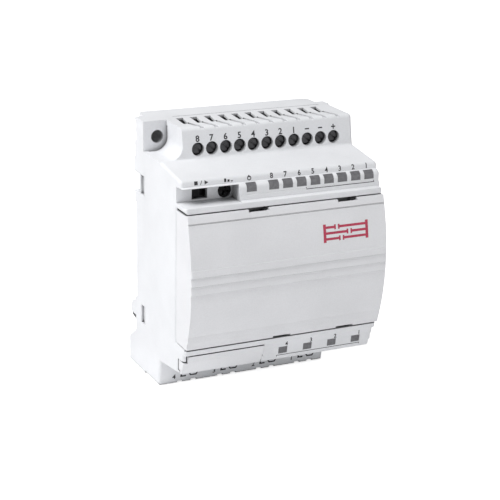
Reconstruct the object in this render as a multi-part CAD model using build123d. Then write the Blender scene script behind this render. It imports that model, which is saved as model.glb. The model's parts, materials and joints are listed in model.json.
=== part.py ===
"""Compact programmable relay for a 35 mm mounting rail, four modules wide.

Millimetres. +X is to the right seen from the front, +Y goes back into the panel and +Z is up.
The origin is the middle of the bottom of the bounding box.
"""

import os
from math import sqrt

from build123d import *

os.makedirs("parts", exist_ok=True)

# ---- driving dimensions ------------------------------------------------------------------
WIDTH = 71.5             # four 18 mm modules, less a little clearance to the neighbours
HEIGHT = 90.0
REAR_Y = 28.0            # back of the two rear blocks, almost at the mounting panel
FRONT_Y = -28.0          # crown of the front cover
HALF = WIDTH / 2
WALL = 1.8               # moulded wall of both housing halves
EDGE_ROUND = 1.0         # outer side edges of the shell
GAP = 0.3                # free gap between pieces that come apart

RAIL_SEAT_Y = 22.0       # face that the rail's flanges lie against
RAIL_WIDTH = 35.0
RAIL_FLANGE = 1.0
RAIL_Z = 45.0            # rail's middle line
RAIL_TOP, RAIL_LOW = RAIL_Z + RAIL_WIDTH / 2, RAIL_Z - RAIL_WIDTH / 2
SEAM_SIDE_Y = 12.8       # where the shell meets the base, on the sides and the bottom
SEAM_TOP_Y = 17.3        # the same seam on the top face
SIDE_REAR_Y = 21.6       # back edge of the side walls, above and below the rail

COVER_LOW, COVER_TOP = 22.0, 68.0
COVER_BACK_Y = -14.8     # shoulder that the front cover's skirt sits on
COVER_RADIUS, COVER_MID_Z = 68.0, 44.5
COVER_WALL, COVER_ROUND = 1.8, 0.5
COVER_SEAM = 0.35        # gap along the front cover's upper and lower edge
SKIRT_SEAM = 0.5         # gap between the cover's skirt and the shoulder behind it
PORT_SEAM = 0.42         # gap round the port cover

PITCH = 5.05             # terminal grid
IN_COUNT, IN_X0, IN_Z = 11, -22.14, 82.85
OUT_X0, OUT_Z = -27.9, 7.0
OUT_STEPS = (0, 1, 3, 4, 6, 7, 9, 10)
ACCESS_R = 2.2           # screwdriver holes in the terminal blocks
IN_XS = [IN_X0 + PITCH * i for i in range(IN_COUNT)]
OUT_XS = [OUT_X0 + PITCH * i for i in OUT_STEPS]

LUG_X, LUG_Z = 30.8, 84.6            # upper left fixing hole; the other is diagonally opposite
LUG_R, LUG_FRONT_Y, LUG_BACK_Y, LUG_INNER_X = 2.2, 13.7, 25.0, 27.5
LUG_FLOOR_Z = 79.9

IN_LIGHT_X0, IN_LIGHT_PITCH, IN_LIGHT_COUNT = -3.72, 5.04, 8
IN_LIGHT_Z, IN_LIGHT_W, IN_LIGHT_H = 74.1, 3.6, 2.8
MODE_LIGHT_X = -11.75
OUT_LIGHT_X0, OUT_LIGHT_PITCH, OUT_LIGHT_COUNT = 1.4, 9.35, 4
OUT_LIGHT_Z, OUT_LIGHT_W, OUT_LIGHT_H = 15.6, 3.3, 2.8

CONTROL_Z = 72.4                     # slide switch and trimmer share this height
RECESS_RIGHT_X, RECESS_BACK_Y = -16.0, -15.0
SWITCH_X, SWITCH_W, SWITCH_H, SWITCH_TRAVEL = -27.7, 5.4, 3.8, 2.3
TRIMMER_X, TRIMMER_R = -18.9, 2.15

PORT_RIGHT_X, PORT_LOW, PORT_TOP = -6.6, 12.0, 19.2
POWER_BOARD_Y, LOGIC_BOARD_Y, BOARD_T = 15.0, -9.0, 1.6   # front face of each board
BOARD_HALF = 31.5
LATCH_HALF, LATCH_TRAVEL = 9.0, 2.9


# ---- helpers -----------------------------------------------------------------------------
def block(x0, x1, y0, y1, z0, z1):
    """Axis-aligned block between two corners."""
    centre = Pos((x0 + x1) / 2, (y0 + y1) / 2, (z0 + z1) / 2)
    return centre * Box(x1 - x0, y1 - y0, z1 - z0)


def side_prism(points, x0, x1, rounds=()):
    """Outline in (Y, Z) carried from x0 to x1; rounds lists (corner point, radius)."""
    face = Polygon(*points, align=None)
    for corner, radius in rounds:
        nearest = min(face.vertices(), key=lambda v: (v.X - corner[0])**2 + (v.Y - corner[1])**2)
        face = fillet(nearest, radius)
    return extrude(Plane.YZ.offset(x0) * face, x1 - x0, dir=(1, 0, 0))


def y_rod(x, z, radius, y0, y1):
    """Round bar along Y."""
    return Pos(x, (y0 + y1) / 2, z) * Rot(90, 0, 0) * Cylinder(radius, y1 - y0)


def z_rod(x, y, radius, z0, z1):
    """Round bar along Z."""
    return Pos(x, y, (z0 + z1) / 2) * Cylinder(radius, z1 - z0)


def turned(shape):
    """The same shape, turned half a turn about the module's middle along Y."""
    return Pos(0, 0, HEIGHT) * Rot(0, 180, 0) * shape


def group(shapes):
    """Separate solids kept as one node."""
    return Compound(children=[solid for shape in shapes for solid in shape.solids()])


def save(name, shape):
    export_step(shape, f"parts/{name}.step")


# ---- outer form --------------------------------------------------------------------------
# Side outline of the front shell, clockwise from the back of the bottom face.
BLOCK_LOW, BLOCK_LOW_TOP = (0.5, 0.0), (-1.05, 9.4)
NOSE_LOW = (-18.9, 11.8)
LEDGE_LOW, LEDGE_LOW_TOP = (-22.8, 19.7), (-23.1, COVER_LOW)
LEDGE_TOP_LOW, LEDGE_TOP = (-22.8, COVER_TOP), (-22.7, 69.9)
STRIP_LOW, STRIP_TOP = (-21.1, 70.3), (-19.1, 75.6)
STRIP_CREST = (-20.6, 74.7)          # the indicator strip bulges forward under its top edge
SHELF_NOSE, SHELF_BACK = (-18.2, 77.7), (-1.3, 79.9)
BLOCK_TOP = (0.63, HEIGHT)
LOW_STEPS = [(-19.3, 14.0), (-20.1, 14.3), (-20.4, 16.8), (-21.1, 17.1), (-21.2, 19.1)]

SHELL_OUTLINE = [
    (REAR_Y, 0), BLOCK_LOW, BLOCK_LOW_TOP, NOSE_LOW, *LOW_STEPS, LEDGE_LOW, LEDGE_LOW_TOP,
    (COVER_BACK_Y, COVER_LOW), (COVER_BACK_Y, COVER_TOP), LEDGE_TOP_LOW, LEDGE_TOP,
    STRIP_LOW, (-20.9, 71.8), (-20.6, 71.9), STRIP_CREST, STRIP_TOP, (-18.5, 75.7),
    SHELF_NOSE, SHELF_BACK, BLOCK_TOP, (REAR_Y, HEIGHT),
]
SHELL_ROUNDS = [(BLOCK_TOP, 1.6), (STRIP_CREST, 1.4), (SHELF_NOSE, 1.2), (SHELF_BACK, 0.8),
                (BLOCK_LOW, 0.8), (NOSE_LOW, 0.6), (LEDGE_TOP, 0.3), (LEDGE_LOW, 0.3)]

# Inside of the shell: one wall in from the outline, with a plate behind the front cover.
PLATE_BACK_Y = COVER_BACK_Y + WALL
SHELL_HOLLOW = [
    (REAR_Y, WALL), (2.3, WALL), (0.9, 11.2), (-16.9, 13.6), (-18.4, 19.0), (-18.4, 20.0),
    (PLATE_BACK_Y, 20.0), (PLATE_BACK_Y, 70.0), (-18.6, 70.0), (-17.2, 75.9),
    (0.6, 78.1), (2.4, HEIGHT - WALL), (REAR_Y, HEIGHT - WALL),
]


def corner_block(inset, y1):
    """Corner of the upper left fixing pocket, grown by inset beyond the pocket's own faces."""
    return block(-HALF - 1, -LUG_INNER_X + inset, -5, y1, LUG_FLOOR_Z - inset, HEIGHT + 1)


def lug_pocket():
    """Open corner with a rounded inner edge, cut along Y as far as the lug."""
    corner = corner_block(0, LUG_FRONT_Y)
    inner_edge = corner.edges().filter_by(Axis.Y).sort_by(lambda e: e.center().X - e.center().Z)[-1]
    return fillet(inner_edge, 4.5)


def wire_entry(x):
    """Skewed opening in the top wall over one clamp, with the groove that leads out of it."""
    opening = [(x - 2.2, 6.3), (x - 0.6, 6.3), (x + 0.9, 14.6), (x - 1.6, 14.6)]
    groove = [(x - 0.9, 6.8), (x + 0.3, 2.6), (x + 1.4, 1.2), (x + 1.4, -4), (x + 2.9, -4),
              (x + 2.9, 1.2), (x + 1.9, 3.4), (x + 0.2, 8.0)]
    entry = extrude(Plane.XY.offset(HEIGHT - 3) * Polygon(*opening, align=None), 4, dir=(0, 0, 1))
    return entry + extrude(Plane.XY.offset(HEIGHT - 0.8) * Polygon(*groove, align=None), 2,
                           dir=(0, 0, 1))


def lower_entry(x):
    """Opening in the bottom wall under one clamp, with a notch that runs out to the front."""
    return block(x - 1.5, x + 1.5, 6.3, 14.6, -1, 3) + block(x - 0.8, x + 1.4, -2, 6.4, -1, 0.75)


def thinned_wall(xs):
    """Relief that leaves the wall thin around a row of wire entries, on the upper side."""
    return block(min(xs) - 3, max(xs) + 3, 5.2, 15.6, HEIGHT - WALL - 0.1, HEIGHT - 0.8)


def light_window(x, z, width, height):
    """Block that cuts one indicator window through a front strip."""
    return block(x - width / 2, x + width / 2, -24, -16.5, z - height / 2, z + height / 2)


def input_windows():
    return [light_window(IN_LIGHT_X0 + IN_LIGHT_PITCH * i, IN_LIGHT_Z, IN_LIGHT_W, IN_LIGHT_H)
            for i in range(IN_LIGHT_COUNT)]


def mode_windows():
    return [light_window(MODE_LIGHT_X, IN_LIGHT_Z, IN_LIGHT_W, IN_LIGHT_H)]


def output_windows():
    return [light_window(OUT_LIGHT_X0 + OUT_LIGHT_PITCH * i, OUT_LIGHT_Z, OUT_LIGHT_W, OUT_LIGHT_H)
            for i in range(OUT_LIGHT_COUNT)]


def rounded_form():
    """Solid outer form of the shell, before it is hollowed, with its side edges rounded."""
    form = side_prism(SHELL_OUTLINE, -HALF, HALF, SHELL_ROUNDS)
    form &= block(-HALF, HALF, FRONT_Y - 1, SEAM_TOP_Y, 0, HEIGHT)
    side_edges = [e for e in form.faces().filter_by(Axis.X).edges()
                  if max(v.Y for v in e.vertices()) < SEAM_TOP_Y - 0.05]
    return fillet(side_edges, EDGE_ROUND)


OUTER_FORM = rounded_form()
COVER_PRY_XS, COVER_PRY_LOW_XS = (-10.5, 22.0), (-1.2, 22.6)   # pry notches of the front cover


# ---- housing parts -----------------------------------------------------------------------
def main_housing():
    hollow = side_prism(SHELL_HOLLOW, -HALF + WALL, HALF - WALL)
    hollow -= corner_block(WALL, REAR_Y)
    hollow -= turned(corner_block(WALL, REAR_Y))
    recess_walls = block(-HALF, RECESS_RIGHT_X + WALL, -25, RECESS_BACK_Y + WALL, 66, 78)
    shell = OUTER_FORM - (hollow - recess_walls)
    # the sides and bottom stop at the side seam, the top runs on to the top seam
    shell -= block(-HALF - 1, HALF + 1, SEAM_SIDE_Y, REAR_Y, -1, HEIGHT - WALL)
    shell -= lug_pocket() + turned(lug_pocket())
    shell -= block(-HALF - 1, -LUG_INNER_X + WALL, SEAM_SIDE_Y, REAR_Y, 70, HEIGHT + 1)
    # shadow line under the front cover, and fingernail pockets behind the cover's lower notches
    shell -= block(-HALF - 1, HALF + 1, -24, -21.9, COVER_LOW - 0.6, COVER_LOW + 1)
    for x in COVER_PRY_LOW_XS:
        shell -= block(x - 3.3, x + 3.3, -22.0, -18.9, COVER_LOW - 1.6, COVER_LOW + 1)
    # control recess, open to the left side
    shell -= block(-HALF - 1, RECESS_RIGHT_X, -26, RECESS_BACK_Y, LEDGE_TOP[1], 75.3)
    shell -= block(SWITCH_X - SWITCH_W / 2, SWITCH_X + SWITCH_W / 2, -16, -13,
                   CONTROL_Z - SWITCH_H / 2, CONTROL_Z + SWITCH_H / 2)
    shell -= y_rod(TRIMMER_X, CONTROL_Z, TRIMMER_R + 0.25, -16, -13)
    # indicator windows
    for window in input_windows() + mode_windows() + output_windows():
        shell -= window
    # terminals: screwdriver holes, wire entries and their grooves
    for x in IN_XS:
        shell -= y_rod(x, IN_Z, ACCESS_R, -5, 4)
        shell -= wire_entry(x)
    for x in OUT_XS:
        shell -= y_rod(x, OUT_Z, ACCESS_R, -5, 4)
        shell -= lower_entry(x)
    shell -= thinned_wall(IN_XS)
    # seat of the port cover and the opening behind it
    shell -= port_seat()
    shell -= block(-HALF + 3.2, PORT_RIGHT_X - 2, -22, -15, PORT_LOW + 1.6, PORT_TOP - 1.2)
    # slots for the front cover's tongues
    for x in (-23, 23):
        shell -= block(x - 4, x + 4, COVER_BACK_Y - 1, PLATE_BACK_Y + 1, 62.6, 66.6)
        shell -= block(x - 4, x + 4, COVER_BACK_Y - 1, PLATE_BACK_Y + 1, 23.4, 27.4)
    # pegs that hold the logic board, and notches that take the base's side snaps
    for x in (-27, 27):
        for z in (31, 59):
            shell += y_rod(x, z, 2.2, PLATE_BACK_Y - 0.2, LOGIC_BOARD_Y)
    for x0, x1 in ((-HALF - 1, -HALF + WALL + 1), (HALF - WALL - 1, HALF + 1)):
        for z in (21.3, 68.0):
            shell -= block(x0, x1, SEAM_SIDE_Y - 0.1, SEAM_SIDE_Y + 4, z - 3.4, z + 3.4)
    return shell


PORT_FRONT = [(-22.5, PORT_TOP), (-21.8, 17.0), (-19.1, PORT_LOW)]


def port_seat():
    """Space for the port cover: the cover's own outline grown by the gap all round."""
    outline = [(-24, PORT_TOP + PORT_SEAM), (-18.6, PORT_TOP + PORT_SEAM), (-16.9, 17.0),
               (-16.9, PORT_LOW + 0.9), (-18.2, PORT_LOW + 0.9), (-18.2, PORT_LOW - 1.5),
               (-24, PORT_LOW - 1.5)]
    seat = side_prism(outline, -HALF - 1, PORT_RIGHT_X + PORT_SEAM)
    cheek = block(-HALF - 2, -HALF + 1.2, -24, -12, 17.0, PORT_TOP + 2)
    return seat - cheek


def port_cover():
    """Blank that closes the programming port; a finger notch is left at its lower left."""
    outline = [*PORT_FRONT, (-18.3, PORT_LOW), (-18.3, PORT_LOW + 1.2), (-17.2, PORT_LOW + 1.2),
               (-17.2, 16.9), (-18.9, PORT_TOP)]
    plate = side_prism(outline, -HALF + 0.2, PORT_RIGHT_X)
    plate -= block(-HALF - 1, -HALF + 1.2 + GAP, -24, -12, 17.0 - GAP, PORT_TOP + 1)
    for x in (-31.4, -10.2):
        plate += block(x - 0.9, x + 0.9, -17.3, -13.6, 15.2, 16.8)
    return plate


def cover_y(z, depth=0.0):
    """Height of the cover's crown at level z, that deep under its outer arc."""
    return FRONT_Y + COVER_RADIUS - sqrt((COVER_RADIUS - depth)**2 - (z - COVER_MID_Z)**2)


def arc_stretch(z0, z1, depth):
    """Arc of the crown between two levels, that deep under the outer arc."""
    points = [(cover_y(z, depth), z) for z in (z0, (z0 + z1) / 2, z1)]
    return ThreePointArc(*points)


def above_crown(z0, depth0, z1, depth1):
    """Everything in front of the crown between two levels, from those depths under its arc."""
    arc = ThreePointArc((cover_y(z0, depth0), z0),
                        (cover_y((z0 + z1) / 2, (depth0 + depth1) / 2), (z0 + z1) / 2),
                        (cover_y(z1, depth1), z1))
    far = FRONT_Y - 5
    outline = Curve() + [arc, Line(arc @ 1, (far, z1)), Line((far, z1), (far, z0)),
                         Line((far, z0), arc @ 0)]
    return extrude(Plane.YZ.offset(-HALF - 1) * make_face(outline), WIDTH + 2, dir=(1, 0, 0))


# Relief of the cover, from its lower edge up: level and depth at the lower and the upper end
# of each stretch. A stretch that deepens upwards ends under a small overhang.
FLUTE = 0.5
COVER_RELIEF = [
    (COVER_LOW, 0.03, 24.8, FLUTE), (24.8, 0.03, 27.4, FLUTE), (27.4, 0.22, 39.4, 0.22),
    (39.4, 0.22, 42.4, FLUTE), (42.4, 0.03, 45.3, FLUTE), (45.3, 0.03, 48.2, FLUTE),
    (50.4, 0.01, 50.8, 0.24), (50.8, 0.24, 63.4, 0.24), (63.4, 0.24, 64.9, 0.10),
    (64.9, 0.30, 65.3, 0.30), (65.3, 0.08, COVER_TOP, 0.05),
]


def front_cover():
    """Clip-on cover: a shallow tub with a curved, banded front and four straight tongues."""
    low, top = COVER_LOW + COVER_SEAM, COVER_TOP - COVER_SEAM
    crown = arc_stretch(low, top, 0)
    back = COVER_BACK_Y - SKIRT_SEAM
    outline = Curve() + [crown, Line(crown @ 1, (back, top)), Line((back, top), (back, low)),
                         Line((back, low), crown @ 0)]
    tub = extrude(Plane.YZ.offset(-HALF) * make_face(outline), WIDTH, dir=(1, 0, 0))
    sides = tub.faces().filter_by(Axis.X).edges().filter_by(GeomType.CIRCLE)
    tub = fillet(sides, COVER_ROUND)
    for stretch in COVER_RELIEF:
        tub -= above_crown(*stretch)
    inner_arc = arc_stretch(low + COVER_WALL, top - COVER_WALL, COVER_WALL + 1.0)
    inner = Curve() + [inner_arc, Line(inner_arc @ 1, (0, top - COVER_WALL)),
                       Line((0, top - COVER_WALL), (0, low + COVER_WALL)),
                       Line((0, low + COVER_WALL), inner_arc @ 0)]
    tub -= extrude(Plane.YZ.offset(-HALF + COVER_WALL) * make_face(inner),
                   WIDTH - 2 * COVER_WALL, dir=(1, 0, 0))
    for x in (-23, 23):
        for z, inward in ((top - COVER_WALL, -1), (low + COVER_WALL, 1)):
            z0, z1 = sorted((z - 0.1 * inward, z + 1.5 * inward))
            tub += block(x - 3, x + 3, -18, -10.6, z0, z1)
            tip0, tip1 = sorted((z + 1.4 * inward, z + 2.2 * inward))
            tub += block(x - 3, x + 3, -12.4, -11.0, tip0, tip1)
    # pry notches at the upper and lower edge, open to the inside behind their lip
    for x in COVER_PRY_XS:
        tub -= block(x - 3.7, x + 3.7, -30, -18.5, top - 0.75, top + 1)
        tub -= block(x - 3.4, x + 3.4, -23.6, -18.5, top - 2.6, top + 1)
    for x in COVER_PRY_LOW_XS:
        tub -= block(x - 3.3, x + 3.3, -30, -18.9, low - 1, low + 0.5)
    return tub


def base_side_outline():
    """Side outline of the base, from the seam round the rail channel and the latch's space."""
    return [
        (SEAM_SIDE_Y, 0), (REAR_Y, 0), (REAR_Y, 8.8), (SIDE_REAR_Y, 13.3), (SIDE_REAR_Y, 18.8),
        (26.6, 18.8), (26.2, 21.5), (24.4, 23.6), (RAIL_SEAT_Y, 24.3), (RAIL_SEAT_Y, 64.7),
        (16.7, 64.7), (16.7, 71.2), (22.6, 71.2), (22.6, 76.2), (SIDE_REAR_Y, 76.2),
        (SIDE_REAR_Y, HEIGHT), (SEAM_SIDE_Y, HEIGHT),
    ]


def rail_hooks():
    """Two fixed lips behind the rail's upper flange."""
    lip_y = RAIL_SEAT_Y + RAIL_FLANGE + 0.4
    outline = [(lip_y, 64.2), (lip_y, RAIL_TOP - 1.6), (lip_y + 0.7, RAIL_TOP - 1.6),
               (lip_y + 2.2, RAIL_TOP + 0.5), (lip_y + 2.2, 64.2)]
    return [side_prism(outline, x - 5, x + 5) for x in (-19, 19)]


def latch_channel():
    """Guide of the rail latch: wide near the seat, narrower behind so that it can't fall out."""
    half = LATCH_HALF + GAP
    return (block(-half, half, RAIL_SEAT_Y, 24.6, -1, 27.4)
            + block(-half + 1.8, half - 1.8, 24.5, REAR_Y + 1, -1, 19)
            + block(-half, half, 24.5, REAR_Y + 1, 15, 27.4))


def fixing_lug():
    """Upper left fixing lug with its screw sleeve, before the hole."""
    lug = block(-HALF, -LUG_INNER_X + WALL, LUG_FRONT_Y, RAIL_SEAT_Y - 0.4,
                LUG_FLOOR_Z - WALL, HEIGHT)
    return lug + y_rod(-LUG_X, LUG_Z, 3.4, LUG_FRONT_Y, LUG_BACK_Y)


def rear_base():
    back_wall_y = 20.0
    sides = side_prism(base_side_outline(), -HALF, HALF)
    sides -= block(-HALF + WALL, HALF - WALL, SEAM_SIDE_Y - 1, back_wall_y, WALL, HEIGHT - WALL)
    # between the side walls the back is closed again behind the two side notches
    inner_half = HALF - WALL - 1.3
    closing = block(-HALF + WALL, HALF - WALL, SEAM_SIDE_Y + 0.4, RAIL_SEAT_Y, 63, 73)
    closing -= block(-inner_half, inner_half, SEAM_SIDE_Y, back_wall_y, 62, 74)
    upper = block(-32.5, 32.5, back_wall_y, REAR_Y, RAIL_TOP + 0.7, HEIGHT)
    upper = fillet(upper.edges().filter_by(Axis.Z).group_by(Axis.Y)[-1], 2.5)
    # top edge runs forward to the shell's seam only behind the shell
    base = sides + closing + upper
    base -= block(-LUG_INNER_X + WALL, HALF + 1, SEAM_SIDE_Y - 1, SEAM_TOP_Y,
                  HEIGHT - WALL - 0.01, HEIGHT + 1)
    for x in (-19.2, 0, 19.2):
        base -= block(x - 8.4, x + 8.4, 23.5, REAR_Y + 1, 66.2, 87.6)
    for x in (-21.0, 21.0):
        base -= block(x - 7.5, x + 7.5, 23.5, REAR_Y + 1, 2.0, 7.0)
    base -= lug_pocket() + turned(lug_pocket())
    base -= latch_channel()
    for hook in rail_hooks():
        base += hook
    # fine groove along the top seam
    base -= block(-HALF + 12, HALF - 4, SEAM_TOP_Y - 0.1, SEAM_TOP_Y + 0.3, HEIGHT - 0.5, HEIGHT + 1)
    base += fixing_lug() + turned(fixing_lug())
    for x, z in ((-LUG_X, LUG_Z), (LUG_X, HEIGHT - LUG_Z)):
        base -= y_rod(x, z, LUG_R, 0, REAR_Y + 1)
    # stop that the latch spring stands on, posts for the power board
    base += block(-1.9, 1.9, RAIL_SEAT_Y - 0.5, 24.2, 5.9, 6.9)
    for x, z in BOARD_SCREWS:
        base += y_rod(x, z, 2.6, POWER_BOARD_Y + BOARD_T, back_wall_y + 0.5)
        base -= y_rod(x, z, 1.25, POWER_BOARD_Y, back_wall_y + 0.6)
    # snap tongues that reach forward into the shell's side notches, and rear edge rebates
    for side in (-1, 1):
        inner, outer = sorted((side * (HALF - 0.5), side * (HALF - WALL)))
        for z in (21.3, 68.0):
            base -= block(*sorted((side * (HALF - 0.9), side * (HALF + 1))),
                          SEAM_SIDE_Y + 0.4, SEAM_SIDE_Y + 3.4, z - 3.3, z + 3.3)
        for z0, z1 in ((25.5, 60.5), (82.0, 88.6)):
            base -= block(*sorted((side * (HALF - 0.6), side * (HALF + 1))),
                          SIDE_REAR_Y - 1.0, REAR_Y, z0, z1)
    return base


BOARD_SCREWS = [(-27.5, 17.5), (27.5, 17.5), (-27.5, 73.5), (27.5, 73.5)]


# ---- rail latch --------------------------------------------------------------------------
def rail_latch():
    """Sliding foot: tongue with a sloped nose behind the rail, a cross bar and a pull window."""
    tongue = block(-LATCH_HALF, LATCH_HALF, RAIL_SEAT_Y + 0.3, 24.3, 0.6, RAIL_LOW - 0.4)
    nose_y = RAIL_SEAT_Y + RAIL_FLANGE + 0.3
    nose = side_prism([(nose_y, 24.0), (nose_y, RAIL_LOW + 1.8), (nose_y + 0.6, RAIL_LOW + 1.8),
                       (nose_y + 3.0, 25.5), (nose_y + 3.0, 22.0), (24.2, 21.0), (nose_y, 21.0)],
                      -LATCH_HALF, LATCH_HALF)
    bar = side_prism([(22.0, 16.5), (26.4, 17.6), (26.4, 18.5), (22.0, 18.5)], -HALF + 0.5, HALF - 0.5)
    latch = tongue + nose + bar
    latch -= block(-2.3, 2.3, RAIL_SEAT_Y - 1, 28, 5.6, 15.0)
    latch -= block(-3.0, 3.0, RAIL_SEAT_Y - 1, 28, 1.8, 3.8)
    return latch


def latch_spring():
    """Compression spring in the latch's window, kept as its outer tube."""
    y = 23.25
    return z_rod(0, y, 0.95, 7.0, 14.9) - z_rod(0, y, 0.6, 6.0, 16.0)


# ---- terminals ---------------------------------------------------------------------------
CAGE_W, CAGE_H, CAGE_Y0, CAGE_Y1 = 4.0, 5.0, 3.8, 12.8


def clamp_cage(x, z):
    """Lift cage: a rectangular ring that the wire enters along Z, with its screw's thread hole."""
    ring = block(x - CAGE_W / 2, x + CAGE_W / 2, CAGE_Y0, CAGE_Y1, z - CAGE_H / 2, z + CAGE_H / 2)
    ring -= block(x - 1.4, x + 1.4, CAGE_Y0 + 1.8, CAGE_Y1 - 0.9, z - 4, z + 4)
    return ring - y_rod(x, z, 1.3, CAGE_Y0 - 1, CAGE_Y0 + 2)


def clamp_screw(x, z):
    """Slotted clamp screw: head in front of the cage, shank through its thread hole."""
    front = CAGE_Y0 - 3.2
    head = y_rod(x, z, 1.95, front, CAGE_Y0 - 0.1)
    head = chamfer(head.edges().sort_by(Axis.Y)[0], 0.25)
    screw = head + y_rod(x, z, 1.25, CAGE_Y0 - 0.3, CAGE_Y0 + 4.2)
    return screw - Pos(x, front, z) * Rot(0, 35, 0) * Box(4.4, 1.6, 0.7)


def terminal_strip(xs, z, wire_up):
    """Insulating strip: one cell for each clamp, open to the wire entry and to the front."""
    lead = 1 if wire_up else -1
    x0, x1 = min(xs) - 2.6, max(xs) + 2.6
    z_open, z_shut = z + lead * 4.3, z - lead * 3.6
    strip = block(x0, x1, CAGE_Y0 - 1.0, CAGE_Y1 + 1.0, *sorted((z_open, z_shut)))
    for x in xs:
        cell = block(x - CAGE_W / 2 - 0.1, x + CAGE_W / 2 + 0.1, CAGE_Y0 - 0.1, CAGE_Y1 + 0.1,
                     *sorted((z_open + lead, z - lead * (CAGE_H / 2 + 0.1))))
        strip -= cell
        strip -= y_rod(x, z, 2.1, CAGE_Y0 - 2, CAGE_Y0 + 0.2)
    return strip


# ---- electronics -------------------------------------------------------------------------
def logic_board():
    board = block(-BOARD_HALF, BOARD_HALF, LOGIC_BOARD_Y, LOGIC_BOARD_Y + BOARD_T, 14.2, 75.4)
    return board


def power_board():
    y0 = POWER_BOARD_Y
    board = block(-BOARD_HALF, BOARD_HALF, y0, y0 + BOARD_T, 13.6, 77.2)
    for x, z in BOARD_SCREWS:
        board -= y_rod(x, z, 1.45, y0 - 1, y0 + BOARD_T + 1)
    return board


def board_screw(x, z):
    y0 = POWER_BOARD_Y
    screw = y_rod(x, z, 2.5, y0 - 1.7, y0) + y_rod(x, z, 1.2, y0 - 0.1, y0 + 4.4)
    cross = block(x - 1.6, x + 1.6, y0 - 2, y0 - 0.9, z - 0.35, z + 0.35)
    return screw - cross - block(x - 0.35, x + 0.35, y0 - 2, y0 - 0.9, z - 1.6, z + 1.6)


def output_relay(x):
    """Sealed relay on the power board, with its rounded can edges and five pins."""
    body = block(x - 3.6, x + 3.6, -0.6, POWER_BOARD_Y - 0.4, 18.5, 38.5)
    body = fillet(body.edges().filter_by(Axis.Y), 0.5)
    pins = [block(x - 0.3, x + 0.3, POWER_BOARD_Y - 0.5, POWER_BOARD_Y, z - 0.5, z + 0.5)
            for z in (20.5, 26.0, 36.5)]
    for pin in pins:
        body += pin
    return body


def capacitor(x, z, radius, length):
    can = y_rod(x, z, radius, POWER_BOARD_Y - length, POWER_BOARD_Y)
    return fillet(can.edges().sort_by(Axis.Y)[0], 0.6)


def choke(x, z):
    """Drum core with its winding."""
    y1 = POWER_BOARD_Y
    return (y_rod(x, z, 5.0, y1 - 1.4, y1) + y_rod(x, z, 4.2, y1 - 6.4, y1 - 1.3)
            + y_rod(x, z, 5.0, y1 - 7.6, y1 - 6.3))


def processor_chip():
    """Square flat package with a row of legs on each side."""
    y0 = LOGIC_BOARD_Y + BOARD_T
    chip = block(-6, 6, y0 + 0.2, y0 + 1.7, 38, 50)
    for i in range(10):
        step = -4.95 + 1.1 * i
        chip += block(step - 0.2, step + 0.2, y0, y0 + 0.5, 36.9, 51.1)
        chip += block(-7.1, 7.1, y0, y0 + 0.5, 44 + step - 0.2, 44 + step + 0.2)
    return chip


def memory_chip():
    y0 = LOGIC_BOARD_Y + BOARD_T
    chip = block(12, 17, y0 + 0.2, y0 + 1.7, 42, 46)
    for i in range(4):
        chip += block(12.4 + 1.27 * i, 12.8 + 1.27 * i, y0, y0 + 0.5, 41, 47)
    return chip


def board_header():
    """Plug-and-socket stack that joins the two boards."""
    y0 = LOGIC_BOARD_Y + BOARD_T
    stack = block(-11, 11, y0, y0 + 8.5, 60, 65) + block(-11, 11, POWER_BOARD_Y - 3, POWER_BOARD_Y, 60, 65)
    for i in range(8):
        x = -8.9 + 2.54 * i
        for z in (61.25, 63.75):
            stack += block(x - 0.32, x + 0.32, y0 + 8, POWER_BOARD_Y - 2.5, z - 0.32, z + 0.32)
    return stack


def backup_cell():
    """Coin-shaped capacitor that keeps the clock running."""
    y0 = LOGIC_BOARD_Y + BOARD_T
    cell = y_rod(-21, 46, 5.2, y0, y0 + 5.0)
    return fillet(cell.edges().filter_by(GeomType.CIRCLE).sort_by(Axis.Y)[-1], 0.7)


def light_pipe(x, z, width, height, tint_gap=0.2):
    """Window of an indicator with the short light pipe that reaches back to its lamp."""
    head = (Pos(0, tint_gap, 0) * OUTER_FORM) & light_window(x, z, width, height)
    return head + block(x - 0.9, x + 0.9, -17.6, LOGIC_BOARD_Y - 1.6, z - 0.9, z + 0.9)


def light_pipes(windows_x, z, width, height):
    return group([light_pipe(x, z, width, height) for x in windows_x])


def status_lamp(x, z):
    """Small surface lamp on the logic board, under its light pipe."""
    return (block(x - 1.0, x + 1.0, LOGIC_BOARD_Y - 1.3, LOGIC_BOARD_Y, z - 0.7, z + 0.7)
            - block(x - 0.6, x + 0.6, LOGIC_BOARD_Y - 1.4, LOGIC_BOARD_Y - 0.9, z - 0.4, z + 0.4))


def mode_switch_body():
    x0, x1 = SWITCH_X - 3.7, SWITCH_X + 3.7
    body = block(x0, x1, RECESS_BACK_Y + 2.1, LOGIC_BOARD_Y, CONTROL_Z - 2.8, CONTROL_Z + 2.8)
    half = (SWITCH_W - 0.4) / 2
    return body - block(SWITCH_X - half, SWITCH_X + half, -14, -11.6, CONTROL_Z - 1.3, CONTROL_Z + 1.3)


def mode_switch_slider():
    """Ribbed knob at its left stop."""
    x0 = SWITCH_X - (SWITCH_W - 0.6) / 2
    x1 = x0 + (SWITCH_W - 0.6) - SWITCH_TRAVEL
    knob = block(x0, x1, -14.7, -11.8, CONTROL_Z - 1.15, CONTROL_Z + 1.15)
    for i in range(3):
        x = x0 + 0.6 + 0.65 * i
        knob -= block(x - 0.14, x + 0.14, -15, -14.4, CONTROL_Z - 1.2, CONTROL_Z + 1.2)
    return knob


def trimmer_body():
    body = block(TRIMMER_X - 3, TRIMMER_X + 3, RECESS_BACK_Y + 2.1, LOGIC_BOARD_Y,
                 CONTROL_Z - 2.9, CONTROL_Z + 2.9)
    return body - y_rod(TRIMMER_X, CONTROL_Z, TRIMMER_R + 0.08, -14, -11.2)


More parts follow.
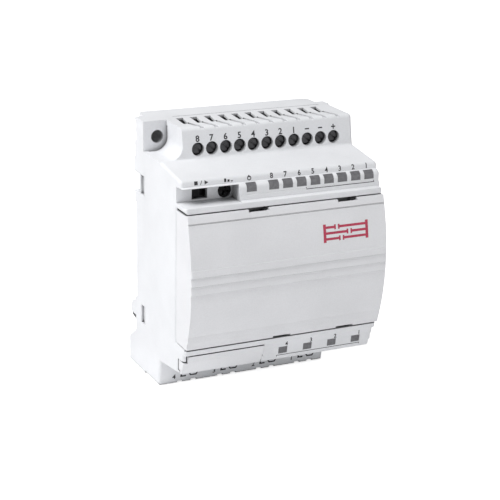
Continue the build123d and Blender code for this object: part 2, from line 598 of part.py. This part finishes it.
def trimmer_rotor():
    """Rotor with a cross recess and a pointer notch at its rim."""
    rotor = y_rod(TRIMMER_X, CONTROL_Z, TRIMMER_R, -14.6, -11.3)
    for turn in (0, 90):
        rotor -= Pos(TRIMMER_X, -14.6, CONTROL_Z) * Rot(0, turn + 20, 0) * Box(3.4, 1.8, 0.75)
    return rotor


def port_socket():
    """Rectangular plug socket with six contact pins, facing the front."""
    x0, x1, z0, z1 = -30.0, -12.4, 14.4, 17.6
    y0, y1 = -16.2, LOGIC_BOARD_Y
    socket = block(x0, x1, y0, y1, z0, z1) - block(x0 + 0.9, x1 - 0.9, y0 - 1, y1 - 1.5, z0 + 0.7, z1 - 0.7)
    for i in range(6):
        x = x0 + 3.0 + 2.32 * i
        socket += block(x - 0.3, x + 0.3, y0 + 1.2, y1 - 1.4, 15.7, 16.3)
    return socket


def supply_fuse():
    y1 = POWER_BOARD_Y
    return (y_rod(24.5, 62.0, 2.4, y1 - 8.0, y1) + block(23.9, 25.1, y1 - 0.8, y1, 58.6, 59.8))


# ---- write every node --------------------------------------------------------------------
IN_LIGHT_XS = [IN_LIGHT_X0 + IN_LIGHT_PITCH * i for i in range(IN_LIGHT_COUNT)]
OUT_LIGHT_XS = [OUT_LIGHT_X0 + OUT_LIGHT_PITCH * i for i in range(OUT_LIGHT_COUNT)]

save("rear_base", rear_base())
save("main_housing", main_housing())
save("front_cover", front_cover())
save("port_cover", port_cover())
save("rail_latch", rail_latch())
save("latch_spring", latch_spring())

save("input_terminal_strip", terminal_strip(IN_XS, IN_Z, True))
save("input_clamp_cages", group([clamp_cage(x, IN_Z) for x in IN_XS]))
save("input_clamp_screws", group([clamp_screw(x, IN_Z) for x in IN_XS]))
save("output_terminal_strip", terminal_strip(OUT_XS, OUT_Z, False))
save("output_clamp_cages", group([clamp_cage(x, OUT_Z) for x in OUT_XS]))
save("output_clamp_screws", group([clamp_screw(x, OUT_Z) for x in OUT_XS]))

save("input_light_pipes", light_pipes(IN_LIGHT_XS, IN_LIGHT_Z, IN_LIGHT_W, IN_LIGHT_H))
save("mode_light_pipe", light_pipes([MODE_LIGHT_X], IN_LIGHT_Z, IN_LIGHT_W, IN_LIGHT_H))
save("output_light_pipes", light_pipes(OUT_LIGHT_XS, OUT_LIGHT_Z, OUT_LIGHT_W, OUT_LIGHT_H))
save("status_lamps", group([status_lamp(x, IN_LIGHT_Z) for x in [*IN_LIGHT_XS, MODE_LIGHT_X]]
                           + [status_lamp(x, OUT_LIGHT_Z) for x in OUT_LIGHT_XS]))

save("mode_switch_body", mode_switch_body())
save("mode_switch_slider", mode_switch_slider())
save("trimmer_body", trimmer_body())
save("trimmer_rotor", trimmer_rotor())
save("port_socket", port_socket())

save("logic_board", logic_board())
save("processor_chip", processor_chip())
save("memory_chip", memory_chip())
save("backup_cell", backup_cell())
save("board_header", board_header())
save("power_board", power_board())
save("board_screws", group([board_screw(x, z) for x, z in BOARD_SCREWS]))
save("output_relays", group([output_relay(x) for x in (-19.5, -7.5, 4.5, 16.5)]))
save("supply_capacitors", group([capacitor(-22, 66, 4.0, 12), capacitor(-22, 55, 4.0, 12),
                                 capacitor(23, 50, 3.1, 9)]))
save("supply_choke", choke(-9, 51))
save("supply_fuse", supply_fuse())
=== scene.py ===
# %% [markdown]
# # A programmable relay module in Blender
#
# The object is a small controller that clips to a 35 mm rail in a switch cabinet. Its housing is moulded
# plastic: a white shell and base, a light grey clip-on front cover and a blank over a programming port.
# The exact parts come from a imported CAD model. This lesson gives them their finishes, adds the printed
# marks and the coil spring, then sets the camera and the light.

import json
from math import cos, radians, sin

import bmesh
import bpy
import numpy as np
from mathutils import Matrix
from mathutils.bvhtree import BVHTree


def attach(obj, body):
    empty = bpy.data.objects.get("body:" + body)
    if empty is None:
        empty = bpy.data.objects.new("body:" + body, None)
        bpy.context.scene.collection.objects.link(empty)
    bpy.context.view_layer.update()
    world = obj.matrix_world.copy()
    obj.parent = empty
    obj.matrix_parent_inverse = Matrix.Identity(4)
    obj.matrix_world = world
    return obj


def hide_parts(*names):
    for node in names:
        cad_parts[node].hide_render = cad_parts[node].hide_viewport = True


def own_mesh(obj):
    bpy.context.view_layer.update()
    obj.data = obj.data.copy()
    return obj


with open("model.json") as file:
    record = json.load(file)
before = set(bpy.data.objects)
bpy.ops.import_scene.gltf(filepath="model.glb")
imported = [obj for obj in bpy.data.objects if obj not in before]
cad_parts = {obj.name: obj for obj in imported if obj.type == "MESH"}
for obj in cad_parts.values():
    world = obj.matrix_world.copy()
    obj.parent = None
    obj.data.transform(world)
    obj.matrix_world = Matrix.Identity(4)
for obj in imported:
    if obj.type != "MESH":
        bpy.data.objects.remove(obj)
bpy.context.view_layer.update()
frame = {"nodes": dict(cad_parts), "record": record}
nodes = frame["nodes"]
MM = 0.001
print("CAD pieces:", len(nodes))

# %% [markdown]
# ## Moulded plastic
#
# Spark-eroded moulds leave a fine grain on the plastic. A single colour would look like paper, so each
# plastic gets three things: a grain a few tenths of a millimetre wide as bump, a slow drift of tone across
# the piece, and a roughness that varies with the grain. The pattern reads object coordinates, so it sits
# still on the piece. A bevel node rounds the light on the sharp moulded edges. White plastic shows every
# seam as a dark line, so painted shade darkens the colour where other surfaces stand close: strongly within
# about a millimetre, for seams and slots, and weakly within a few millimetres, for holes and pockets.

# %% Node-graph helpers
def new_material(name):
    """New node material; returns it with its node tree and its Principled shader."""
    material = bpy.data.materials.new(name)
    material.use_nodes = True
    tree = material.node_tree
    shader = tree.nodes["Principled BSDF"]
    return material, tree, shader


def noise(tree, scale, detail=3.0, rough=0.55):
    """Noise texture on object coordinates; scale is in cycles for each metre."""
    coordinates = tree.nodes.new("ShaderNodeTexCoord")
    texture = tree.nodes.new("ShaderNodeTexNoise")
    texture.inputs["Scale"].default_value = scale
    texture.inputs["Detail"].default_value = detail
    texture.inputs["Roughness"].default_value = rough
    tree.links.new(coordinates.outputs["Object"], texture.inputs["Vector"])
    return texture.outputs["Fac"]


def ramp(tree, source, stops):
    """Colour ramp through (position, colour) stops."""
    node = tree.nodes.new("ShaderNodeValToRGB")
    elements = node.color_ramp.elements
    while len(elements) < len(stops):
        elements.new(0.5)
    for element, (place, colour) in zip(elements, stops):
        element.position = place
        element.color = (*colour, 1.0)
    tree.links.new(source, node.inputs["Fac"])
    return node.outputs["Color"]


def map_range(tree, source, low, high):
    """Carries a 0 to 1 value to the range from low to high."""
    node = tree.nodes.new("ShaderNodeMapRange")
    node.inputs["To Min"].default_value = low
    node.inputs["To Max"].default_value = high
    tree.links.new(source, node.inputs["Value"])
    return node.outputs["Result"]


def bump(tree, shader, source, distance, strength, edge=0.0):
    """Bump from a height source, over a bevelled normal where edge is more than zero."""
    node = tree.nodes.new("ShaderNodeBump")
    node.inputs["Distance"].default_value = distance
    node.inputs["Strength"].default_value = strength
    tree.links.new(source, node.inputs["Height"])
    if edge:
        rounded = tree.nodes.new("ShaderNodeBevel")
        rounded.samples = 6
        rounded.inputs["Radius"].default_value = edge
        tree.links.new(rounded.outputs["Normal"], node.inputs["Normal"])
    tree.links.new(node.outputs["Normal"], shader.inputs["Normal"])


def multiplied(tree, colour, other, share=1.0):
    """One colour times another, or that share of the way to it."""
    mix = tree.nodes.new("ShaderNodeMix")
    mix.data_type, mix.blend_type = "RGBA", "MULTIPLY"
    mix.inputs["Factor"].default_value = share
    tree.links.new(colour, mix.inputs["A"])
    tree.links.new(other, mix.inputs["B"])
    return mix.outputs["Result"]


def painted_corner_shade(tree, colour, reach, darkest):
    """Paints shade into a colour where surfaces stand closer than the reach: fully once they hide four fifths
    of the sky over a point, and not at all while they hide less than about four tenths."""
    # painted shade: the colour follows how much of the sky nearby surfaces hide
    shade = tree.nodes.new("ShaderNodeAmbientOcclusion")
    shade.samples = 8
    shade.inputs["Distance"].default_value = reach
    tone = ramp(tree, shade.outputs["AO"], [(0.2, (darkest,) * 3), (0.62, (1.0, 1.0, 1.0))])
    return multiplied(tree, colour, tone)


def tint(colour, factor):
    """The same colour, lighter or darker."""
    return tuple(min(1.0, c * factor) for c in colour)


# %% Plastics, metals, board and windows
# painted shade: how near other surfaces must stand, and how dark the colour gets, in seams and in pockets
SEAM_SHADE_REACH, SEAM_SHADE_DARKEST = 1.2 * MM, 0.12
POCKET_SHADE_REACH, POCKET_SHADE_DARKEST = 7 * MM, 0.4
GRAIN_SCALE, DRIFT_SCALE = 2600.0, 55.0


def plastic(name, colour, rough=0.5, grain=0.25, spread=0.04, edge=0.22 * MM, specular=0.5):
    """Moulded plastic: tone drifts over centimetres, the grain is bump and roughness, and painted shade
    darkens the colour in seams and pockets.
    """
    material, tree, shader = new_material(name)
    drift = noise(tree, DRIFT_SCALE, 4.0)
    shade = ramp(tree, drift, [(0.3, tint(colour, 1 - spread)), (0.7, tint(colour, 1 + spread))])
    fine = noise(tree, GRAIN_SCALE, 2.0, 0.7)
    speck = ramp(tree, fine, [(0.35, (0.93, 0.93, 0.93)), (0.6, (1.0, 1.0, 1.0))])
    # painted shade: darker in seams within about a millimetre, then in holes and pockets within a few
    # millimetres
    seam_shaded_colour = painted_corner_shade(tree, multiplied(tree, shade, speck, 0.6), SEAM_SHADE_REACH, SEAM_SHADE_DARKEST)
    tone = painted_corner_shade(tree, seam_shaded_colour, POCKET_SHADE_REACH, POCKET_SHADE_DARKEST)
    tree.links.new(tone, shader.inputs["Base Color"])
    tree.links.new(map_range(tree, fine, rough - 0.08, rough + 0.1), shader.inputs["Roughness"])
    shader.inputs["Specular IOR Level"].default_value = specular
    bump(tree, shader, fine, 0.05 * MM, grain, edge)
    return material


def metal(name, colour, rough=0.3, speckle=900.0):
    """Plated or drawn metal: a fine speckle in roughness and a little tarnish in the colour."""
    material, tree, shader = new_material(name)
    shader.inputs["Metallic"].default_value = 1.0
    blotch = noise(tree, 420.0, 4.0)
    tone = ramp(tree, blotch, [(0.3, tint(colour, 0.75)), (0.7, tint(colour, 1.1))])
    tree.links.new(tone, shader.inputs["Base Color"])
    fine = noise(tree, speckle, 3.0)
    tree.links.new(map_range(tree, fine, rough - 0.1, rough + 0.15), shader.inputs["Roughness"])
    bump(tree, shader, fine, 0.03 * MM, 0.2, 0.08 * MM)
    return material


def board(name, colour):
    """Solder mask over copper: lighter lines for tracks, drawn where a broad noise passes its middle."""
    material, tree, shader = new_material(name)
    tracks = noise(tree, 260.0, 1.0)
    tone = ramp(tree, tracks, [(0.42, tint(colour, 0.8)), (0.5, tint(colour, 1.6)), (0.56, colour)])
    tree.links.new(tone, shader.inputs["Base Color"])
    fine = noise(tree, 1800.0)
    tree.links.new(map_range(tree, fine, 0.25, 0.42), shader.inputs["Roughness"])
    bump(tree, shader, tracks, 0.04 * MM, 0.3)
    return material


def lens(name, colour):
    """Tinted window: a smooth face with a faint moulded grain and a soft gloss."""
    material, tree, shader = new_material(name)
    drift = noise(tree, 900.0, 3.0)
    tone = ramp(tree, drift, [(0.3, tint(colour, 0.82)), (0.7, tint(colour, 1.2))])
    tree.links.new(tone, shader.inputs["Base Color"])
    tree.links.new(map_range(tree, drift, 0.28, 0.42), shader.inputs["Roughness"])
    bump(tree, shader, drift, 0.03 * MM, 0.15, 0.15 * MM)
    return material


FINISHES = {
    "shell_white": plastic("shell_white_plastic", (0.80, 0.81, 0.835), rough=0.5),
    "cover_grey": plastic("cover_grey_plastic", (0.785, 0.79, 0.815), rough=0.48, spread=0.03),
    "latch_dark": plastic("latch_dark_plastic", (0.05, 0.05, 0.055), rough=0.45),
    "spring_steel": metal("spring_wire", (0.55, 0.56, 0.58), 0.28, 2200.0),
    "terminal_dark": plastic("terminal_dark_plastic", (0.035, 0.035, 0.038), rough=0.55),
    "plated_metal": metal("tin_plate", (0.62, 0.62, 0.60), 0.32),
    "screw_metal": metal("screw_burnished", (0.07, 0.07, 0.073), 0.34),
    "lens_grey": lens("lens_tinted", (0.16, 0.16, 0.17)),
    "lamp_clear": lens("lamp_resin", (0.62, 0.66, 0.55)),
    "black_plastic": plastic("black_moulding", (0.009, 0.009, 0.010), rough=0.5, grain=0.15,
                             specular=0.25),
    "board_green": board("solder_mask", (0.015, 0.11, 0.05)),
    "chip_black": plastic("chip_epoxy", (0.02, 0.02, 0.02), rough=0.6),
    "relay_black": plastic("relay_case", (0.03, 0.03, 0.034), rough=0.42),
    "can_sleeve": plastic("capacitor_sleeve", (0.02, 0.028, 0.07), rough=0.3, grain=0.08),
    "ferrite_dark": plastic("ferrite", (0.045, 0.04, 0.036), rough=0.75, grain=0.5),
}
for part in frame["record"]["subparts"]:
    piece = nodes[part["node"]]
    piece.data.materials.clear()
    piece.data.materials.append(FINISHES[part["material_slot"]])
print("finishes:", len(FINISHES))

# %% [markdown]
# ## Printed marks
#
# The marks are pad-printed: a film of ink two hundredths of a millimetre thick that follows the moulding.
# Each mark is drawn flat, seen from the front, as X and Z in millimetres. Long edges are divided, and every
# point is then dropped along +Y on to the piece behind it, so the ink follows the rounded nose and the
# curved cover.

# %% Shapes, drawn in X and Z
def bar(x0, x1, z0, z1):
    """Rectangle between two corners."""
    return [(x0, z0), (x1, z0), (x1, z1), (x0, z1)], [(0, 1, 2, 3)]


def shape(*points):
    """One polygon through its corners."""
    return list(points), [tuple(range(len(points)))]


def stroke(points, width):
    """Line of that width through the points, one quad for each run, with the corners mitred."""
    path = np.array(points, float)
    run = np.diff(path, axis=0)
    run /= np.linalg.norm(run, axis=1)[:, None]
    heading = np.vstack([run[:1], run[:-1] + run[1:], run[-1:]])
    heading /= np.linalg.norm(heading, axis=1)[:, None]
    normal = np.stack([-heading[:, 1], heading[:, 0]], 1)
    side = np.stack([-run[:, 1], run[:, 0]], 1)
    reach = width / 2 / np.einsum("ij,ij->i", normal, np.vstack([side[:1], side]))
    left, right = path + normal * reach[:, None], path - normal * reach[:, None]
    count = len(path)
    faces = [(i, i + 1, count + i + 1, count + i) for i in range(count - 1)]
    return [tuple(c) for c in np.vstack([right, left])], faces


def ring(x, z, radius, width, count=28):
    """Closed circular line of that width: points on two circles, joined by quads."""
    turn = np.linspace(0, 2 * np.pi, count, endpoint=False)
    circle = np.stack([np.cos(turn), np.sin(turn)], 1)
    points = np.vstack([circle * (radius - width / 2), circle * (radius + width / 2)]) + (x, z)
    faces = [(i, (i + 1) % count, count + (i + 1) % count, count + i) for i in range(count)]
    return [tuple(c) for c in points], faces


CAPITAL, BOLDER = 0.70, 0.022        # shares of the font's size: a figure's height, ink added all round


def figure(label, x, z, height):
    """Number centred on a point, as flat faces of that height."""
    curve = bpy.data.curves.new("figure", "FONT")
    curve.body, curve.size, curve.resolution_u, curve.offset = label, 1.0, 3, BOLDER
    holder = bpy.data.objects.new("figure", curve)
    bpy.context.scene.collection.objects.link(holder)
    mesh = bpy.data.meshes.new_from_object(holder.evaluated_get(bpy.context.evaluated_depsgraph_get()))
    points = np.array([v.co[:2] for v in mesh.vertices])
    faces = [tuple(p.vertices) for p in mesh.polygons]
    bpy.data.objects.remove(holder)
    bpy.data.meshes.remove(mesh)
    points -= (points.min(0) + points.max(0)) / 2
    points *= height / CAPITAL
    return [tuple(c) for c in points + (x, z)], faces


# %% Ink that follows the piece behind it
LIFT, FILM, LONGEST = 0.03, 0.02, 0.35      # the film's height over the piece, its thickness, longest edge


def printed(name, node, shapes, slot, body):
    """Drops flat shapes on to a CAD piece along +Y as one film of ink, under that material slot."""
    ground = nodes[node].data
    tree = BVHTree.FromPolygons([v.co for v in ground.vertices], [p.vertices for p in ground.polygons])
    mesh = bmesh.new()
    for points, faces in shapes:
        corners = [mesh.verts.new((x, 0, z)) for x, z in points]
        for face in faces:
            mesh.faces.new([corners[i] for i in face])
    bmesh.ops.triangulate(mesh, faces=mesh.faces[:])
    for _ in range(6):
        long_edges = [e for e in mesh.edges if e.calc_length() > LONGEST]
        if not long_edges:
            break
        bmesh.ops.subdivide_edges(mesh, edges=long_edges, cuts=1)
        bmesh.ops.triangulate(mesh, faces=[f for f in mesh.faces if len(f.verts) > 3])
    for point in mesh.verts:
        hit = tree.ray_cast((point.co.x * MM, -0.1, point.co.z * MM), (0, 1, 0))[0]
        point.co = (point.co.x * MM, hit.y - LIFT * MM, point.co.z * MM)
    for face in mesh.faces:
        face.normal_update()
        if face.normal.y > 0:
            face.normal_flip()
    data = bpy.data.meshes.new(name)
    mesh.to_mesh(data)
    mesh.free()
    film = bpy.data.objects.new(name, data)
    bpy.context.scene.collection.objects.link(film)
    film.modifiers.new("ink", "SOLIDIFY").thickness = FILM * MM
    data.materials.append(INKS[slot])
    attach(film, body)
    print(name, "faces:", len(data.polygons))


def ink(name, colour):
    """Matt ink: a little thin in spots, so the tone changes over tenths of a millimetre."""
    material, tree, shader = new_material(name)
    patch = noise(tree, 3200.0, 3.0)
    tone = ramp(tree, patch, [(0.3, tint(colour, 0.8)), (0.72, tint(colour, 1.5))])
    tree.links.new(tone, shader.inputs["Base Color"])
    tree.links.new(map_range(tree, patch, 0.45, 0.65), shader.inputs["Roughness"])
    bump(tree, shader, patch, 0.01 * MM, 0.2)
    return material


INKS = {"print_black": ink("ink_black", (0.02, 0.02, 0.023)),
        "print_red": ink("ink_red", (0.42, 0.035, 0.075))}
print("inks:", len(INKS))

# %% [markdown]
# ## Marks on the housing
#
# The inputs are numbered from the right, and the last three terminals carry the supply: two minus signs and a
# plus. Over the slide switch stand a stop square and a run arrow, over the trimmer a falling row of bars.
# Under each pair of output terminals sits the sign for a switch contact.

# %% Terminal signs
PITCH = 5.05
TERMINAL_ROW, INDICATOR_ROW, OUTPUT_ROW, PAIR_ROW = 86.3, 76.75, 18.05, 2.6
INPUTS, OUTPUTS = 8, 4
IN_XS = [-22.14 + PITCH * i for i in range(11)]
LIGHT_XS = [-3.72 + 5.04 * i for i in range(INPUTS)]
MODE_X = -11.75
OUT_LIGHT_XS = [1.4 + 9.35 * i for i in range(OUTPUTS)]
OUT_PAIR_XS = [-27.9 + 3 * PITCH * i for i in range(OUTPUTS)]

terminal_signs = [figure(str(INPUTS - i), x, TERMINAL_ROW, 2.0) for i, x in enumerate(IN_XS[:INPUTS])]
terminal_signs += [bar(x - 0.8, x + 0.8, TERMINAL_ROW - 0.2, TERMINAL_ROW + 0.2) for x in IN_XS[INPUTS:]]
plus_x = IN_XS[-1]
terminal_signs += [bar(plus_x - 0.2, plus_x + 0.2, TERMINAL_ROW + 0.2, TERMINAL_ROW + 0.8),
                   bar(plus_x - 0.2, plus_x + 0.2, TERMINAL_ROW - 0.8, TERMINAL_ROW - 0.2)]
printed("terminal_numbers", "main_housing", terminal_signs, "print_black", "housing")

# %% Indicator and control signs
indicator_signs = [figure(str(INPUTS - i), x, INDICATOR_ROW, 1.6) for i, x in enumerate(LIGHT_XS)]
indicator_signs += [ring(MODE_X, 76.7, 0.6, 0.3), bar(MODE_X - 0.15, MODE_X + 0.15, 76.9, 77.6)]
indicator_signs += [stroke([(8.0, 72.2), (8.0, 71.7), (33.4, 71.7), (33.4, 72.2)], 0.22)]
printed("indicator_numbers", "main_housing", indicator_signs, "print_black", "housing")

control_signs = [bar(-31.0, -29.8, 76.15, 77.35), shape((-27.4, 76.1), (-26.1, 76.75), (-27.4, 77.4))]
control_signs += [stroke([(-28.9, 76.1), (-28.3, 77.4)], 0.2)]
control_signs += [bar(-20.6 + 1.15 * i, -19.85 + 1.15 * i, 76.2, 77.3 - 0.38 * i) for i in range(3)]
printed("control_signs", "main_housing", control_signs, "print_black", "housing")

# %% Output signs
output_signs = [figure(str(OUTPUTS - i), x + 0.9, OUTPUT_ROW, 1.4) for i, x in enumerate(OUT_LIGHT_XS)]
output_signs += [stroke([(-0.4, 12.9), (-0.4, 13.35), (31.6, 13.35), (31.6, 12.9)], 0.2)]
for i, x in enumerate(OUT_PAIR_XS):
    output_signs += [figure(str(OUTPUTS - i), x - 2.2, PAIR_ROW, 1.7),
                     bar(x + 0.2, x + 2.3, 2.1, 2.65), bar(x + 0.2, x + 0.8, 2.65, 3.2),
                     stroke([(x + 3.3, 3.4), (x + 4.1, 2.4), (x + 6.1, 2.4), (x + 6.7, 3.5)], 0.5)]
printed("output_signs", "main_housing", output_signs, "print_black", "housing")

# %% [markdown]
# ## Mark on the cover
#
# Two rails joined by three rungs, each rung broken by a pair of contact bars: the sign for ladder logic, the
# way such a module is programmed. It is printed in red and bends with the cover.

# %% Ladder sign
ladder = [bar(11.9, 12.9, 54.4, 60.4), bar(27.7, 28.7, 54.4, 60.4)]
for level, gap in ((59.3, 17.0), (57.4, 21.6), (55.5, 18.6)):
    ladder += [bar(12.9, gap - 1.0, level - 0.4, level + 0.4), bar(gap + 1.0, 27.7, level - 0.4, level + 0.4)]
    ladder += [bar(gap - 1.0, gap - 0.4, level - 0.8, level + 0.8),
               bar(gap + 0.4, gap + 1.0, level - 0.8, level + 0.8)]
printed("cover_sign", "front_cover", ladder, "print_red", "front_cover")

# %% [markdown]
# ## The latch spring
#
# A compression spring of round wire pushes the rail latch up. Its line is a helix closed at both ends: the
# first and the last turn climb by hardly more than the wire's thickness, and the turns between share the rest
# of the height evenly. A ring of points is swept along that line, square to the line's own direction.

# %% Coil spring
def coil(name, centre, z0, z1, radius, wire, turns, per_turn=20, sides=8):
    """Closed-end coil along Z: a ring of points, square to a helix, carried along it and capped."""
    t = np.linspace(0, 1, int(turns * per_turn) + 1)
    pitch_share = np.clip((t * turns - 1.0) / (turns - 2.0), 0, 1)
    low, high = z0 + wire, z1 - wire
    dead = 2.05 * wire
    height = low + dead * np.clip(t * turns, 0, 1) + dead * np.clip(t * turns - turns + 1, 0, 1)
    height = height + (high - low - 2 * dead) * pitch_share
    angle = 2 * np.pi * turns * t
    line = np.stack([centre[0] + radius * np.cos(angle), centre[1] + radius * np.sin(angle), height], 1)
    along = np.gradient(line, axis=0)
    along /= np.linalg.norm(along, axis=1)[:, None]
    out = np.stack([np.cos(angle), np.sin(angle), np.zeros_like(angle)], 1)
    across = np.cross(along, out)
    spin = np.linspace(0, 2 * np.pi, sides, endpoint=False)
    tube = (line[:, None] + wire * (np.cos(spin)[None, :, None] * out[:, None]
                                    + np.sin(spin)[None, :, None] * across[:, None])).reshape(-1, 3)
    step = np.arange(len(t) - 1)[:, None] * sides
    a = (step + np.arange(sides)).ravel()
    b = (step + (np.arange(sides) + 1) % sides).ravel()
    faces = np.stack([a, a + sides, b + sides, b], 1).tolist()
    faces += [list(range(sides)), list(range(len(tube) - 1, len(tube) - sides - 1, -1))]
    mesh = bpy.data.meshes.new(name)
    mesh.from_pydata((tube * MM).tolist(), [], faces)
    for face in mesh.polygons:
        face.use_smooth = True
    spring = bpy.data.objects.new(name, mesh)
    bpy.context.scene.collection.objects.link(spring)
    mesh.materials.append(FINISHES["spring_steel"])
    return spring


# The spring is 7.9 mm long at rest, and a latch that is pulled right down leaves 5.0 mm of it.
SPRING_Y, SPRING_LOW, SPRING_TOP = 23.25, 7.0, 14.9
COIL_RADIUS, WIRE_RADIUS, TURNS = 0.78, 0.16, 9
spring = coil("latch_coil", (0.0, SPRING_Y), SPRING_LOW, SPRING_TOP, COIL_RADIUS, WIRE_RADIUS, TURNS)
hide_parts("latch_spring")
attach(spring, "housing")
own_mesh(spring)
print("spring length, mm:", round(SPRING_TOP - SPRING_LOW, 2))

# %% [markdown]
# ## The camera
#
# The module is seen from its left and a little above, through a long lens, so its edges stay almost
# parallel. The camera is rolled by about a degree, so the verticals lean a little. Moving the lens sideways,
# which is what the shift does, frames the module without turning the camera.

# %% Camera
CENTRE = np.array([0.0, 0.0, 0.045])


def stand(thing, place, side, up, back):
    """Puts a camera or a lamp at a place, its own X, Y and Z along side, up and back."""
    matrix = np.eye(4)
    matrix[:3] = np.stack([side, up, back, place], 1)
    thing.matrix_world = Matrix(matrix.tolist())


def camera(place, azimuth, pitch, roll, focal, shift):
    """Camera from its place, its heading from +Y towards +X, its downward pitch and its roll, in degrees."""
    a, t, r = radians(azimuth), radians(pitch), radians(roll)
    forward = np.array([sin(a) * cos(t), cos(a) * cos(t), -sin(t)])
    right = np.array([cos(a), -sin(a), 0.0])
    up = np.cross(right, forward)
    level_right = right * cos(r) + up * sin(r)
    level_up = -right * sin(r) + up * cos(r)
    data = bpy.data.cameras.new("camera")
    data.lens, data.sensor_width = focal, 36.0
    data.shift_x, data.shift_y = shift
    data.clip_start = 0.01
    view = bpy.data.objects.new("camera", data)
    bpy.context.scene.collection.objects.link(view)
    stand(view, place, level_right, level_up, -forward)
    bpy.context.scene.camera = view
    print("camera distance, m:", round(float(np.linalg.norm(np.array(place) - CENTRE)), 3))


CAMERA_PLACE = (-0.20545, -0.42432, 0.20111)
camera(CAMERA_PLACE, azimuth=25.74, pitch=20.13, roll=1.32, focal=103.85, shift=(-0.0042, 0.0917))

# %% [markdown]
# ## The light
#
# A broad lamp stands high on the left, neither in front of the module nor behind it. The side wall is the
# brightest face, the top comes next, and the front is only grazed, which picks out the bands of the cover.
# A wide weak lamp in front keeps the front a quiet light grey, and the surroundings fill the rest.

# %% Lamps
def soft_light(name, direction, distance, size, power):
    """Square area light at a distance from the object's middle, facing it."""
    data = bpy.data.lights.new(name, "AREA")
    data.size, data.energy = size, power
    lamp = bpy.data.objects.new(name, data)
    bpy.context.scene.collection.objects.link(lamp)
    away = np.array(direction) / np.linalg.norm(direction)
    side = np.cross([0.0, 0.0, 1.0], away)
    side = side / np.linalg.norm(side)
    stand(lamp, CENTRE + distance * away, side, np.cross(away, side), away)
    print(name, "power, W:", power)


soft_light("key_high_left", (-0.58, 0.0, 0.81), 0.85, 0.55, 7.1)
soft_light("fill_low_front", (0.35, -0.92, 0.0), 0.9, 0.7, 2.6)

# %% [markdown]
# ## The white surroundings
#
# The camera sees white all round, above and below the horizon. That much light would wash the white plastic
# out, so only the camera's own rays see the full strength: the module is lit by a dimmer sky and stands on an
# ordinary pale floor.

# %% Sky
SKY_STRENGTH = 0.3
world = bpy.data.worlds.new("studio")
world.use_nodes = True
sky = world.node_tree
sky.nodes["Background"].inputs["Color"].default_value = (1, 1, 1, 1)
camera_ray = sky.nodes.new("ShaderNodeLightPath").outputs["Is Camera Ray"]
sky.links.new(map_range(sky, camera_ray, SKY_STRENGTH, 1.0), sky.nodes["Background"].inputs["Strength"])
bpy.context.scene.world = world
bpy.context.scene.view_settings.view_transform = "Standard"
print("sky strength on the module:", SKY_STRENGTH)


# %% Floor
FLOOR_Z, FLOOR_GLOW = -0.0002, 0.75


def floor(half, count=24):
    """Flat square grid from -half to half in X and Y, a hair below the part's bottom."""
    line = np.linspace(-half, half, count + 1)
    x, y = np.meshgrid(line, line)
    points = np.stack([x.ravel(), y.ravel(), np.full(x.size, FLOOR_Z)], 1)
    i = (np.arange(count)[:, None] * (count + 1) + np.arange(count)).ravel()
    quads = np.stack([i, i + 1, i + count + 2, i + count + 1], 1)
    mesh = bpy.data.meshes.new("floor")
    mesh.from_pydata(points.tolist(), [], quads.tolist())
    ground = bpy.data.objects.new("floor", mesh)
    bpy.context.scene.collection.objects.link(ground)
    material, tree, shader = new_material("floor_pale")
    tone = ramp(tree, noise(tree, 6.0), [(0.2, (0.93, 0.93, 0.935)), (0.8, (0.97, 0.97, 0.97))])
    tree.links.new(tone, shader.inputs["Base Color"])
    shader.inputs["Roughness"].default_value = 0.9
    # seen by the camera the floor glows, so that it is as white as the surroundings
    shader.inputs["Emission Color"].default_value = (1, 1, 1, 1)
    camera_ray = tree.nodes.new("ShaderNodeLightPath").outputs["Is Camera Ray"]
    tree.links.new(map_range(tree, camera_ray, 0.0, FLOOR_GLOW), shader.inputs["Emission Strength"])
    mesh.materials.append(material)
    return ground


floor(3.0)
print("floor top, mm:", FLOOR_Z / MM)
